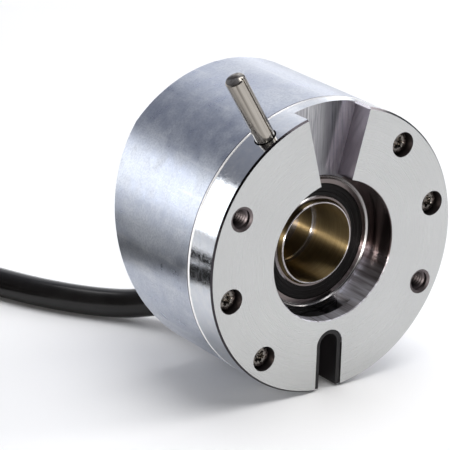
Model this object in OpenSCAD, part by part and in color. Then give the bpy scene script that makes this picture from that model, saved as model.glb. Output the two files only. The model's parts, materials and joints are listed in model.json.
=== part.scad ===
// Hollow-shaft rotary encoder, millimetres.
// The shaft axis is Y: the mounting face of the flange lies at y = 0 and faces -Y, the
// housing runs back along +Y.  +Z is up, towards the wedge notch.  "Clock" angles turn
// clockwise from +Z as seen from the front.

/* [Body] */
// Outside diameter of flange and housing
body_d = 58; // [56:0.5:60]
// Length from the mounting face to the flat part of the back
body_len = 37; // [36:0.5:42]
// Thickness of the front flange
flange_t = 7.1; // [7:0.1:7.6]
// Wall thickness of the housing
wall_t = 2.6; // [2.2:0.1:3]
// Slope of the lower part of the back, in degrees
back_slope = 13.5; // [8:0.5:14]
// Height above the axis at which the sloped back starts
back_break_z = 19.5; // [16:0.5:22]

/* [Flange features] */
// Diameter of the recess in the mounting face
recess_d = 28.6; // [28.4:0.1:29]
// Included angle of the wedge notch at 12 o'clock
notch_angle = 30; // [20:1:40]
// Depth of the wedge notch
notch_depth = 4.6; // [3:0.1:5]
// Width of the torque slot at 6 o'clock
slot_w = 6.2; // [5.6:0.1:7]
// Width left open between the legs of the plastic slot liner
liner_gap = 4.2; // [3.6:0.1:4.4]
// Diameter of the circle that the face holes lie on
hole_circle_d = 49.5; // [49:0.1:50]
// Diameter of the counterbores of the flange screws
counterbore_d = 5.1; // [4.7:0.1:5.3]
// Depth of the counterbores
counterbore_depth = 3.2; // [2.9:0.1:4.2]
// Tapping diameter of the two threaded holes in the face (M4)
face_thread_d = 3.3; // [3.2:0.1:3.4]

/* [Torque pin] */
// Diameter of the radial pin
pin_d = 4; // [3:0.1:4]
// Length of the pin outside the flange
pin_reach = 15; // [10:0.5:20]
// Clock angle of the pin
pin_clock = -31; // [-34:1:-26]

/* [Hollow shaft] */
// Bore diameter of the hollow shaft
bore_d = 16; // [15:0.1:16]
// Distance of the shaft's mouth behind the mounting face
mouth_y = 5.4; // [4.8:0.1:5.8]
// Depth of the full-width bore behind the mounting face
bore_end_y = 16; // [14:0.5:17]

/* [Bearings] */
// Outside diameter of the thin-section ball bearings
bearing_d = 26; // [26:1:26]
// Width of one bearing
bearing_w = 5; // [5:1:5]
// Number of balls in one bearing
ball_count = 16; // [12:1:18]
// Ball diameter
ball_d = 2.4; // [2.2:0.1:2.4]

/* [Cable] */
// Diameter of the cable jacket
cable_d = 6; // [5.6:0.1:6]
// Radius of the middle of the coil's turns
coil_r = 31.5; // [31:0.5:32]

/* [Hidden] */
$fn = 96;
eps = 0.01;
body_r = body_d / 2;
inner_r = body_r - wall_t;
recess_r = recess_d / 2;
hole_r = hole_circle_d / 2;
bore_r = bore_d / 2;
joint_gap = 0.1;             // fine line between flange and housing
housing_y0 = flange_t + joint_gap;

// front hub: the carrier's nose stands in the flange's centring hole
nose_y = 6.35;               // front of the carrier's nose
step_y = 6.55;               // floor of the recess round the nose
nose_r = 13.4;
centring_r = 13.5;
seat_r = bearing_d / 2 + 0.02;

// clock angles of the face holes
screw_clocks = [40, 77.5, 220, 257.5];
thread_clocks = [116, 296];

// window behind the front lip of the recess, which holds the slot liner
lip_t = 2.8;
pocket_w = 14.2;
pocket_low_z = -22.5;
slot_end_z = -16.4;          // innermost point of the torque slot
pin_y = 3.55;
pin_hole_r = 2.5;
pin_seat_depth = 6;
pin_foot_r = 1.8;            // seated part of the pin, thinner than the rest
pin_foot_end = 0.1;          // its end, outside the flange's rim

// bearings
front_bearing_y = 6.3;
spacer_w = 1.5;
rear_bearing_y = front_bearing_y + bearing_w + spacer_w;
race_r = 10.75;              // radius of the circle of ball centres
race_groove_r = ball_d / 2 + 0.04;
shaft_r = bore_r + 0.5;
ring_fit = 0.02;             // inner rings on the shaft
inner_land_r = 9.9;
inner_seal_r = 9.5;
outer_land_r = 11.6;
outer_seal_r = 11.9;
seal_w = 0.5;
seal_in = 0.12;

// carrier
plate_t = 2.3;
plate_y = flange_t + 0.05;    // front face of the plate
plate_r = inner_r - 0.2;
boss_r = 15.2;
boss_end_y = 19.8;

// rotor behind the bearings
disc_y = 21.1;
disc_t = 0.8;
disc_r = 19.6;
shaft_end_y = 22.7;
web_y = 20.4;
small_bore_r = 7.1;
centre_hole_r = 2.75;

// electronics
board_y = 23.2;
board_t = 1.6;
board_r = 25;
board_cut_z = -11;
board_hole_r = 6.5;
connector_x = -17;
connector_z = -10.5;
lead_pitch = 2.2;
spacer_clocks = [0, 105, 285];
spacer_circle_r = 23.2;
read_r = 18;                 // radius of the track that is read
read_clock = 90;

// housing back
back_t = 2.4;
slope_tan = tan(back_slope);
slope_n = [0, cos(back_slope), -sin(back_slope)];
function back_y(z) = z > back_break_z ? body_len : body_len - (back_break_z - z) * slope_tan;
seal_r = 27.6;               // seal between flange and housing
seal_wire_r = 0.5;
plug_floor_y = 28.7;
plug_head_r = 8;
plug_thread_r = 6;

// cable outlet on the sloped back
outlet_x = -6;
outlet_z = -19;
outlet_y = back_y(outlet_z);
outlet_r = 4.2;
collar_r = 5.4;
collar_t = 1.6;
relief_len = 2.8;
cable_r = cable_d / 2;
floor_z = -body_r;
lay_z = floor_z + cable_r;

// centre line of the cable from the strain relief to the coil
cable_start = [outlet_x, outlet_y, outlet_z] + (collar_t + relief_len) * slope_n;
cable_route = [
    cable_start,
    [-6.25, 37, -21.3], [-7.8, 41.8, -22.9], [-10.4, 46.2, -24.4], [-13.6, 50.2, -25.5],
    [-16.9, 54.1, -25.9], [-20.1, 58.1, lay_z], [-23, 62.3, lay_z], [-25.6, 66.7, lay_z],
    [-27.8, 71.3, lay_z], [-29.8, 76, lay_z], [-31.7, 80.8, lay_z], [-33.5, 85.6, lay_z],
    [-35.4, 90.4, lay_z], [-37.3, 95.2, lay_z], [-39.2, 100, lay_z]
];
coil_centre = [-74.2, 86.5];
coil_half_w = 1.5 * cable_d; // three turns side by side below, two in the grooves above
coil_h = cable_d * (1 + sqrt(3) / 2);
plug_x = -102.6;
plug_end_y = 43;
plug_r = 7.5;
plug_z = floor_z + plug_r;
plug_face_z = 33;            // end of the shell, measured along the plug
pin_foot_z = 37;
upper_z = lay_z + cable_d * sqrt(3) / 2;
tail_route = [
    [-108.2, 80.5, upper_z], [-107.3, 75.6, -20.7], [-106.5, 70.7, -20.3], [-105.6, 65.7, -20],
    [-104.7, 60.8, -20.2], [-103.8, 55.6, -20.8], [-103, 50.4, -21.3], [plug_x, plug_end_y, plug_z]
];
tie_angle = 110;             // place of the tie round the coil, in degrees from +X
tie_t = 1;

// ---------------------------------------------------------------- helpers

// turns local +Z into +Y, so that turned parts lie along the shaft axis
module along_y(y = 0) { translate([0, y, 0]) rotate([-90, 0, 0]) children(); }

// solid of revolution about the shaft axis from points [radius, y]
module turned(points) { rotate([-90, 0, 0]) rotate_extrude() polygon(points); }

module ring(r_out, r_in, y0, y1) {
    turned([[r_in, y0], [r_out, y0], [r_out, y1], [r_in, y1]]);
}

module rod(r, y0, y1) { along_y(y0) cylinder(h = y1 - y0, r = r); }

// moves something modelled at 12 o'clock to each clock angle of the list
module at_clocks(clocks) { for (a = clocks) rotate([0, a, 0]) children(); }

// hole or stud along the axis at 12 o'clock, at the given radius
module rod_at(radius, r, y0, y1) { translate([0, 0, radius]) rod(r, y0, y1); }

// frame of the sloped back: local +Z is its outward normal
module on_slope(x, z) {
    translate([x, back_y(z), z]) rotate([-90 - back_slope, 0, 0]) children();
}

// ring of points of the given radius around a point, square to a direction
function unit(v) = v / norm(v);
function ring_points(c, d, r, n, across) =
    let (s = unit(cross(across, d)), u = cross(d, s))
    [for (k = [0 : n - 1]) c + r * (cos(360 * k / n) * s + sin(360 * k / n) * u)];
function heading(p, i) =
    i == 0 ? unit(p[1] - p[0])
    : i == len(p) - 1 ? unit(p[i] - p[i - 1])
    : unit(p[i + 1] - p[i - 1]);

// tube swept along a list of points, with n sides and optional end directions;
// "across" is any direction that the tube never runs along
module swept_tube(p, r, n = 10, first = undef, last = undef, across = [0, 0, 1]) {
    dirs = [for (i = [0 : len(p) - 1])
        i == 0 && !is_undef(first) ? first
        : i == len(p) - 1 && !is_undef(last) ? last
        : heading(p, i)];
    points = [for (i = [0 : len(p) - 1]) each ring_points(p[i], dirs[i], r, n, across)];
    sides = [for (i = [0 : len(p) - 2], k = [0 : n - 1])
        [i * n + k, i * n + (k + 1) % n, (i + 1) * n + (k + 1) % n, (i + 1) * n + k]];
    first_cap = [for (k = [0 : n - 1]) n - 1 - k];
    last_cap = [for (k = [0 : n - 1]) (len(p) - 1) * n + k];
    polyhedron(points = points, faces = concat(sides, [first_cap, last_cap]), convexity = 8);
}

// ---------------------------------------------------------------- flange

module wedge_notch() {
    reach = body_r + 3;
    half = notch_angle / 2;
    along_y(-1) linear_extrude(notch_depth + 1)
        polygon([[0, 0], [-reach * tan(half), -reach], [reach * tan(half), -reach]]);
}

module torque_slot(w, y0, y1) {
    end_r = w / 2;
    translate([0, 0, slot_end_z - end_r]) rod(end_r, y0, y1);
    translate([-end_r, y0, floor_z - 1])
        cube([w, y1 - y0, slot_end_z - end_r - floor_z + 1]);
}

module liner_pocket() {
    translate([-pocket_w / 2, lip_t, pocket_low_z])
        cube([pocket_w, flange_t - lip_t + 1, -pocket_low_z - 8]);
}

module flange() {
    chamfer = 0.35;
    thread_chamfer_r = 2.55;
    thread_sink = (thread_chamfer_r - face_thread_d / 2) / 2;
    color([0.76, 0.78, 0.8]) difference() {
        turned([
            [recess_r + 0.15, 0], [body_r - chamfer, 0], [body_r, chamfer],
            [body_r, flange_t], [centring_r, flange_t], [centring_r, step_y],
            [recess_r, step_y], [recess_r, 0.15]
        ]);
        wedge_notch();
        torque_slot(slot_w, -1, flange_t + 1);
        liner_pocket();
        at_clocks(screw_clocks) {
            rod_at(hole_r, counterbore_d / 2, -1, counterbore_depth);
            rod_at(hole_r, 1.35, 0, flange_t + 1);
        }
        at_clocks(thread_clocks) {
            rod_at(hole_r, face_thread_d / 2, -1, flange_t + 1);
            translate([0, 0, hole_r]) along_y(-eps)
                cylinder(h = thread_sink + eps, r1 = thread_chamfer_r + eps, r2 = face_thread_d / 2);
        }
        rotate([0, pin_clock, 0]) translate([0, pin_y, body_r - 1.6]) cylinder(h = 5, r = pin_hole_r);
        rotate([0, pin_clock, 0]) translate([0, pin_y, body_r - pin_seat_depth])
            cylinder(h = pin_seat_depth, r = pin_foot_r + ring_fit);
    }
}

module slot_liner() {
    play = 0.05;
    front_y = 0.25;
    head_r = 8.2;
    head_z = -15.1;          // foremost point of the rounded head
    color([0.07, 0.07, 0.08]) difference() {
        union() {
            intersection() {
                torque_slot(slot_w - 2 * play, front_y, flange_t - play);
                rod(body_r - 0.3, 0, flange_t);
            }
            intersection() {
                translate([-pocket_w / 2 + play, lip_t + play, pocket_low_z + play])
                    cube([pocket_w - 2 * play, flange_t - lip_t - 2 * play, 20]);
                translate([0, 0, head_z - head_r]) rod(head_r, 0, flange_t);
            }
        }
        translate([0, 0, slot_end_z - slot_w / 2]) rod(liner_gap / 2, -1, flange_t - 1);
        translate([-liner_gap / 2, -1, floor_z - 1])
            cube([liner_gap, flange_t, slot_end_z - slot_w / 2 - floor_z + 1]);
    }
}

module torque_pin() {
    end_chamfer = 0.5;
    dome_h = 0.55;
    r = pin_d / 2;
    base = -pin_seat_depth + 0.05;
    color([0.72, 0.71, 0.66]) rotate([0, pin_clock, 0]) translate([0, pin_y, body_r])
        rotate_extrude() polygon([
            [0, base], [pin_foot_r - 0.3, base], [pin_foot_r, base + 0.3],
            [pin_foot_r, pin_foot_end], [r, pin_foot_end],
            [r, pin_reach - dome_h - end_chamfer],
            [r - end_chamfer * 0.6, pin_reach - dome_h],
            for (a = [15 : 15 : 75])
                [(r - end_chamfer * 0.6) * cos(a), pin_reach - dome_h + dome_h * sin(a)],
            [0, pin_reach]
        ]);
}

// one screw at 12 o'clock: head in the counterbore, shank into the housing boss
module flange_screw() {
    head_r = 2.25;
    head_h = 1.7;
    shank_end_y = 15.5;
    socket_r = 1.15;
    socket_w = 0.76;
    socket_floor_t = 0.6;
    difference() {
        union() {
            rod_at(hole_r, head_r, counterbore_depth - head_h, counterbore_depth);
            rod_at(hole_r, 1.2, counterbore_depth - eps, shank_end_y);
        }
        translate([0, 0, hole_r]) along_y(0) for (a = [0, 60, 120]) rotate(a)
            translate([-socket_r, -socket_w / 2, 0])
                cube([2 * socket_r, socket_w, counterbore_depth - socket_floor_t]);
    }
}

module flange_screws() { color([0.32, 0.31, 0.3]) at_clocks(screw_clocks) flange_screw(); }

// ---------------------------------------------------------------- housing

// cylinder closed by the flat and sloped back, moved inwards by inset
module back_block(r, y0, inset) {
    difference() {
        rod(r, y0, body_len - inset);
        on_slope(0, back_break_z) translate([-2 * body_r, -body_r, -inset])
            cube([4 * body_r, 4 * body_r, body_len]);
    }
}

module housing() {
    edge = 0.5;
    boss_y0 = plate_y + plate_t + 0.05;
    boss_y1 = 17;
    plug_boss_r = 10.4;
    color([0.62, 0.65, 0.7]) difference() {
        union() {
            difference() {
                back_block(body_r, housing_y0, 0);
                difference() {
                    rod(body_r + 1, housing_y0 - 1, housing_y0 + edge);
                    along_y(housing_y0) cylinder(h = edge, r1 = body_r - edge, r2 = body_r);
                }
                back_block(inner_r, housing_y0 - 1, back_t);
            }
            at_clocks(screw_clocks) intersection() {
                rod_at(hole_r, 3, boss_y0, boss_y1);
                rod(body_r - 1, boss_y0, boss_y1);
            }
            intersection() {
                rod(plug_boss_r, plug_floor_y - 3.4, body_len);
                back_block(body_r, housing_y0, 0);
            }
        }
        at_clocks(screw_clocks) rod_at(hole_r, 1.25, boss_y0 - 1, boss_y1 - 1);
        rod(plug_thread_r + 0.05, plug_floor_y - 6, body_len);
        rod(plug_head_r + 0.25, plug_floor_y, body_len + 1);
        on_slope(outlet_x, outlet_z) translate([0, 0, -8]) cylinder(h = 16, r = outlet_r + 0.05);
        // groove of the seal in the front rim
        ring(seal_r + seal_wire_r + 0.05, seal_r - seal_wire_r - 0.05, housing_y0 - 1,
            flange_t + 2 * seal_wire_r + 0.05);
    }
}

module housing_o_ring() {
    color([0.05, 0.05, 0.05]) rotate([-90, 0, 0]) rotate_extrude()
        translate([seal_r, flange_t + seal_wire_r + eps]) circle(r = seal_wire_r);
}

module access_plug() {
    head_h = 1.6;
    hex_af = 6;
    color([0.6, 0.62, 0.65]) difference() {
        union() {
            rod(plug_head_r, plug_floor_y + 0.05, plug_floor_y + head_h);
            rod(plug_thread_r, plug_floor_y - 3, plug_floor_y + 0.05 + eps);
        }
        along_y(plug_floor_y - 1.4) cylinder(h = 5, r = hex_af / 2 / cos(30), $fn = 6);
        ring(plug_thread_r + 1, 5.2, plug_floor_y - 0.9, plug_floor_y);
    }
}

module access_plug_o_ring() {
    color([0.05, 0.05, 0.05]) rotate([-90, 0, 0]) rotate_extrude()
        translate([5.6, plug_floor_y - 0.45]) circle(r = 0.35);
}

// ---------------------------------------------------------------- bearing carrier

module bearing_carrier() {
    lip = 0.38;
    color([0.7, 0.72, 0.74]) difference() {
        turned([
            [seat_r + lip, nose_y], [nose_r, nose_y + 0.1], [nose_r, plate_y],
            [plate_r, plate_y], [plate_r, plate_y + plate_t], [boss_r, plate_y + plate_t],
            [boss_r, boss_end_y], [seat_r, boss_end_y], [seat_r, nose_y + lip]
        ]);
        // groove of the retaining ring
        ring(14, seat_r - 0.5, 18.35, 19.25);
        at_clocks(screw_clocks) rod_at(hole_r, 1.35, 0, 12);
        at_clocks(spacer_clocks) rod_at(spacer_circle_r, 0.95, 0, 12);
    }
}

module outer_spacer() {
    color([0.66, 0.68, 0.7])
        ring(seat_r - 0.03, outer_seal_r, front_bearing_y + bearing_w + eps, rear_bearing_y - eps);
}

module preload_spring() {
    y = rear_bearing_y + bearing_w;
    color([0.5, 0.5, 0.48]) ring(seat_r - 0.1, outer_seal_r, y + 0.02, y + 0.5);
}

module bearing_circlip() {
    color([0.3, 0.3, 0.31]) difference() {
        ring(13.9, 11.7, 18.4, 19.2);
        translate([-2, 17, 0]) cube([4, 4, 20]);
    }
}

// ---------------------------------------------------------------- bearings

module outer_ring(y0) {
    y1 = y0 + bearing_w;
    side = 0.8;
    edge = 0.2;
    difference() {
        turned([
            [outer_seal_r, y0], [bearing_d / 2 - edge, y0], [bearing_d / 2, y0 + edge],
            [bearing_d / 2, y1 - edge], [bearing_d / 2 - edge, y1], [outer_seal_r, y1],
            [outer_seal_r, y1 - side], [outer_land_r, y1 - side],
            [outer_land_r, y0 + side], [outer_seal_r, y0 + side]
        ]);
        race_groove(y0);
    }
}

module inner_ring(y0) {
    y1 = y0 + bearing_w;
    side = 0.8;
    r = shaft_r + ring_fit;
    edge = 0.25;
    difference() {
        turned([
            [r + edge, y0], [inner_seal_r, y0], [inner_seal_r, y0 + side], [inner_land_r, y0 + side],
            [inner_land_r, y1 - side], [inner_seal_r, y1 - side], [inner_seal_r, y1],
            [r + edge, y1], [r, y1 - edge], [r, y0 + edge]
        ]);
        race_groove(y0);
    }
}

module race_groove(y0) {
    rotate([-90, 0, 0]) rotate_extrude()
        translate([race_r, y0 + bearing_w / 2]) circle(r = race_groove_r);
}

module balls(y0, r) {
    for (k = [0 : ball_count - 1]) rotate([0, 360 * k / ball_count, 0])
        translate([0, y0 + bearing_w / 2, race_r]) sphere(r = r, $fn = 48);
}

module cage(y0) {
    half_w = 1.45;
    mid = y0 + bearing_w / 2;
    difference() {
        ring(race_r + 0.45, race_r - 0.45, mid - half_w, mid + half_w);
        balls(y0, ball_d / 2 + 0.06);
    }
}

module seal(y) { ring(outer_seal_r - 0.03, inner_seal_r + 0.05, y, y + seal_w); }

module front_outer_ring() { color([0.6, 0.57, 0.53]) outer_ring(front_bearing_y); }
module front_inner_ring() { color([0.66, 0.66, 0.66]) inner_ring(front_bearing_y); }
module front_balls() { color([0.85, 0.85, 0.87]) balls(front_bearing_y, ball_d / 2); }
module front_cage() { color([0.55, 0.45, 0.25]) cage(front_bearing_y); }
module front_seal() { color([0.04, 0.04, 0.04]) seal(front_bearing_y + seal_in); }
module rear_outer_ring() { color([0.6, 0.6, 0.6]) outer_ring(rear_bearing_y); }
module rear_inner_ring() { color([0.66, 0.66, 0.66]) inner_ring(rear_bearing_y); }
module rear_balls() { color([0.85, 0.85, 0.87]) balls(rear_bearing_y, ball_d / 2); }
module rear_cage() { color([0.55, 0.45, 0.25]) cage(rear_bearing_y); }
module rear_seal() {
    color([0.04, 0.04, 0.04]) seal(rear_bearing_y + bearing_w - seal_in - seal_w);
}

// ---------------------------------------------------------------- rotor

module hollow_shaft() {
    collar_y0 = front_bearing_y + bearing_w;
    edge = 0.15;
    color([0.68, 0.6, 0.45]) turned([
        [bore_r + edge, mouth_y], [shaft_r - edge, mouth_y], [shaft_r, mouth_y + edge],
        [shaft_r, collar_y0 + eps], [inner_seal_r, collar_y0 + eps],
        [inner_seal_r, rear_bearing_y - eps], [shaft_r, rear_bearing_y - eps],
        [shaft_r, shaft_end_y], [centre_hole_r, shaft_end_y], [centre_hole_r, web_y],
        [small_bore_r, web_y], [small_bore_r, bore_end_y], [bore_r, bore_end_y],
        [bore_r, mouth_y + edge]
    ]);
}

module disc_hub() {
    sleeve_y0 = rear_bearing_y + bearing_w + eps;
    color([0.74, 0.75, 0.77]) turned([
        [shaft_r + ring_fit, sleeve_y0], [10.2, sleeve_y0], [10.2, 20], [13, 20],
        [13, disc_y - eps], [shaft_r + ring_fit, disc_y - eps]
    ]);
}

module code_disc() {
    color([0.75, 0.85, 0.88, 0.6]) ring(disc_r, shaft_r + 0.05, disc_y, disc_y + disc_t);
}

module disc_clamp_ring() {
    color([0.74, 0.75, 0.77])
        ring(12, shaft_r + ring_fit, disc_y + disc_t + eps, shaft_end_y - 0.05);
}

// ---------------------------------------------------------------- electronics

module light_source() {
    size = 5.4;
    y0 = plate_y + plate_t + eps;
    window_r = 1.6;
    color([0.12, 0.12, 0.13]) rotate([0, read_clock, 0]) difference() {
        translate([-size / 2, y0, read_r - size / 2 + 0.1]) cube([size, disc_y - 0.7 - y0, size - 0.2]);
        rod_at(read_r, window_r, disc_y - 1.6, disc_y);
    }
}

module sensor_chip() {
    chip_y = disc_y + disc_t + 0.5;
    color([0.1, 0.1, 0.1]) rotate([0, read_clock, 0])
        translate([-3, chip_y, read_r - 2]) cube([6, board_y - chip_y - eps, 4]);
}

module main_board() {
    color([0.1, 0.35, 0.2]) difference() {
        rod(board_r, board_y, board_y + board_t);
        rod(board_hole_r, board_y - 1, board_y + board_t + 1);
        translate([-board_r, board_y - 1, -2 * board_r + board_cut_z])
            cube([2 * board_r, board_t + 2, 2 * board_r]);
        at_clocks(spacer_clocks) rod_at(spacer_circle_r, 1.1, board_y - 1, board_y + board_t + 1);
    }
}

module board_spacers() {
    color([0.75, 0.68, 0.42]) at_clocks(spacer_clocks) difference() {
        union() {
            rod_at(spacer_circle_r, 1.6, plate_y + plate_t, board_y - eps);
            rod_at(spacer_circle_r, 0.93, plate_y + 0.2, plate_y + plate_t + eps);
        }
        rod_at(spacer_circle_r, 0.92, board_y - 7, board_y + 1);
    }
}

module board_screws() {
    head_y = board_y + board_t + eps;
    color([0.7, 0.7, 0.72]) at_clocks(spacer_clocks) difference() {
        union() {
            rod_at(spacer_circle_r, 1.7, head_y, head_y + 1.2);
            rod_at(spacer_circle_r, 0.9, board_y - 5.5, head_y + eps);
        }
        translate([0, 0, spacer_circle_r]) translate([-1.2, head_y + 0.7, -0.2]) cube([2.4, 1, 0.4]);
    }
}

module board_components() {
    y = board_y + board_t + eps;
    color([0.1, 0.1, 0.11]) {
        translate([9, y, 6]) cube([7, 1, 7]);
        translate([-16, y, 8]) cube([5, 1.2, 4]);
        translate([-15, y, 0]) cube([3.2, 1.5, 1.6]);
    }
    color([0.2, 0.2, 0.25]) {
        translate([-6, 0, 16]) rod(2, y, y + 5.4);
        translate([0, 0, 16]) rod(2, y, y + 5.4);
    }
    color([0.7, 0.6, 0.4]) for (k = [0 : 3]) translate([11 + 2.4 * k, y, -4]) cube([1.2, 0.6, 2]);
}

module board_connector() {
    y = board_y + board_t + eps;
    color([0.92, 0.9, 0.84]) difference() {
        translate([connector_x, y, connector_z]) cube([9, 2.2, 3.5]);
        for (k = [0 : 3]) translate([connector_x + 0.7 + lead_pitch * k, y + 0.6, connector_z - 1])
            cube([1, 1, 3]);
    }
}

// four leads from the connector on the board into the mouth of the gland
module inner_leads() {
    color([0.75, 0.2, 0.15]) for (k = [0 : 3])
        let (
            x = connector_x + 1.2 + lead_pitch * k,
            end_x = outlet_x + 0.9 * (k - 1.5),
            y = board_y + board_t + 1.1
        )
        swept_tube([
            [x, y, connector_z + 1], [x, y, connector_z - 0.8],
            [(x + end_x) / 2, 23.9, -13.2 + 0.3 * k], [end_x, 22.9, -15.9 + 0.45 * k],
            [end_x, 23.1, -17.4], [end_x, 24.4, -18.1]
        ], 0.3, 6, across = [0, 1, 0.3]);
}

// ---------------------------------------------------------------- cable outlet

module cable_gland() {
    inside = 4.8;
    color([0.12, 0.12, 0.13]) on_slope(outlet_x, outlet_z) difference() {
        rotate_extrude() polygon([
            [0, -inside], [outlet_r, -inside], [outlet_r, 0.02], [collar_r, 0.02],
            [collar_r, collar_t - 0.3], [collar_r - 0.3, collar_t], [4.3, collar_t],
            [cable_r + 0.7, collar_t + relief_len], [0, collar_t + relief_len]
        ]);
        translate([0, 0, -inside - 1]) cylinder(h = 4, r = 2.4);
    }
}

module gland_nut() {
    color([0.7, 0.66, 0.5]) on_slope(outlet_x, outlet_z) translate([0, 0, -back_t - 2.05])
        difference() {
            cylinder(h = 2, r = 5.6, $fn = 6);
            translate([0, 0, -1]) cylinder(h = 4, r = outlet_r + 0.03);
        }
}

module cable() { color([0.06, 0.06, 0.07]) swept_tube(cable_route, cable_r, 10, first = slope_n); }

// outline of the coil's bundle, grown by d, with its foot raised by foot
module coil_outline(d = 0, foot = 0) {
    polygon([
        [coil_r - coil_half_w - d, foot], [coil_r + coil_half_w + d, foot],
        [coil_r + coil_half_w + d, 4], [coil_r + cable_d + d, coil_h + d],
        [coil_r - cable_d - d, coil_h + d], [coil_r - coil_half_w - d, 4]
    ]);
}

module at_coil() { translate([coil_centre[0], coil_centre[1], floor_z]) children(); }

module cable_coil() { color([0.06, 0.06, 0.07]) at_coil() rotate_extrude() coil_outline(); }

module cable_tie() {
    color([0.9, 0.9, 0.88]) at_coil() rotate([0, 0, tie_angle]) rotate_extrude(angle = 8)
        difference() {
            coil_outline(tie_t);
            coil_outline(0.03, 0.3);
        }
}

module cable_tail() { color([0.06, 0.06, 0.07]) swept_tube(tail_route, cable_r, 10, last = [0, -1, 0]); }

// ---------------------------------------------------------------- plug at the cable's end

// local +Z points out of the plug's mating end
module at_plug() { translate([plug_x, plug_end_y, plug_z]) rotate([90, 0, 0]) children(); }

module plug_shell() {
    color([0.1, 0.1, 0.11]) at_plug() rotate_extrude() polygon([
        [0, 0], [cable_r + 0.6, 0], [5.2, 7], [6.6, 9], [6.6, 27.7], [6.3, 28], [5.4, 28],
        [5.4, 31], [5.9, 31], [5.9, plug_face_z], [0, plug_face_z]
    ]);
}

// the ring turns on the shell's neck, held by its inner shoulder
module plug_nut() {
    play = 0.08;
    color([0.72, 0.72, 0.74]) at_plug() rotate_extrude() polygon([
        [5.4 + play, 28.1], [plug_r - 0.3, 28.1], [plug_r, 28.4], [plug_r, 36.4], [plug_r - 0.5, 37],
        [6, 37], [6, 44.5], [5.7, 44.8], [5, 44.8], [5, plug_face_z + 0.1],
        [5.9 + play, plug_face_z + 0.1], [5.9 + play, 30.9], [5.4 + play, 30.9]
    ]);
}

module plug_insert() {
    color([0.1, 0.1, 0.12]) at_plug() difference() {
        translate([0, 0, plug_face_z]) cylinder(h = pin_foot_z - plug_face_z, r = 4.6);
        translate([-0.5, 3.9, plug_face_z + 1]) cube([1, 2, 6]);
    }
}

module plug_pins() {
    pin_circle_r = 2.75;
    color([0.85, 0.7, 0.35]) at_plug() {
        for (k = [0 : 6]) rotate(360 * k / 7) translate([pin_circle_r, 0, 0]) contact_pin();
        contact_pin();
    }
}

module contact_pin() { translate([0, 0, pin_foot_z]) cylinder(h = 6.5, r = 0.4, $fn = 24); }

// ---------------------------------------------------------------- nodes

flange();
slot_liner();
torque_pin();
flange_screws();
housing();
housing_o_ring();
bearing_carrier();
hollow_shaft();
front_outer_ring();
front_inner_ring();
front_balls();
front_cage();
front_seal();
rear_outer_ring();
rear_inner_ring();
rear_balls();
rear_cage();
rear_seal();
outer_spacer();
preload_spring();
bearing_circlip();
disc_hub();
code_disc();
disc_clamp_ring();
light_source();
sensor_chip();
main_board();
board_spacers();
board_screws();
board_components();
board_connector();
inner_leads();
access_plug();
access_plug_o_ring();
cable_gland();
gland_nut();
cable();
cable_coil();
cable_tie();
cable_tail();
plug_shell();
plug_nut();
plug_insert();
plug_pins();
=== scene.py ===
"""Looks of a hollow-shaft rotary encoder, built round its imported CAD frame.

The shaft axis is Y, the mounting face lies at y = 0 and faces -Y, and +Z is up towards the wedge
notch.  Lengths are in millimetres until MM turns them into Blender's metres.  A clock angle runs
from +Z towards +X.
"""
import json
import math

import bmesh
import bpy
from mathutils import Matrix, Vector


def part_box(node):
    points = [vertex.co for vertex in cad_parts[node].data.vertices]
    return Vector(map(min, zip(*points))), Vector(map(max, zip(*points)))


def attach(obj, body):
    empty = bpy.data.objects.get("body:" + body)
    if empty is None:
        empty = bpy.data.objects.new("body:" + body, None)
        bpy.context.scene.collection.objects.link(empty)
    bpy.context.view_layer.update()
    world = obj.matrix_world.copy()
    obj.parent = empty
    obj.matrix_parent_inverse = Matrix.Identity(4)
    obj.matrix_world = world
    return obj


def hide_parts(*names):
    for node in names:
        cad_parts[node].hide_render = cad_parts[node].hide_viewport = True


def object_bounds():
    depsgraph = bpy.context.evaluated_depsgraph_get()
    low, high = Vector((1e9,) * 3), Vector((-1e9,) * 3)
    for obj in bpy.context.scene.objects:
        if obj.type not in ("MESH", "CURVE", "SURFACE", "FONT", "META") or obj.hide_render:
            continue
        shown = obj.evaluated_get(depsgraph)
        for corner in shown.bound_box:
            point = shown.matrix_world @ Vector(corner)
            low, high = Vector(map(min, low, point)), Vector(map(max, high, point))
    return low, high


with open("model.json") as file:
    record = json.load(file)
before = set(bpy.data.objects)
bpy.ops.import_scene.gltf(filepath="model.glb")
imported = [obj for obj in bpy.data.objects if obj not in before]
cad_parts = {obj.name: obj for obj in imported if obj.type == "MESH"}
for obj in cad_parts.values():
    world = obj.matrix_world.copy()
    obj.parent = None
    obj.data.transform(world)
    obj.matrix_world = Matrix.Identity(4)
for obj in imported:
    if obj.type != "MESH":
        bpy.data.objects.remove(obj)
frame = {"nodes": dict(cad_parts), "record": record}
cad_low, cad_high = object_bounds()

MM = 0.001
TURN = 2 * math.pi
STATOR, ROTOR, COUPLING = "stator", "rotor", "coupling_ring"
ALONG_SHAFT = Matrix.Rotation(math.radians(-90), 4, "X")
materials = {}


# ---------------------------------------------------------------- sizes

def low_mm(node):
    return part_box(node)[0] / MM


def high_mm(node):
    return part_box(node)[1] / MM


def mount(name):
    return next(m for m in frame["record"]["mounts"] if m["name"] == name)


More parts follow.
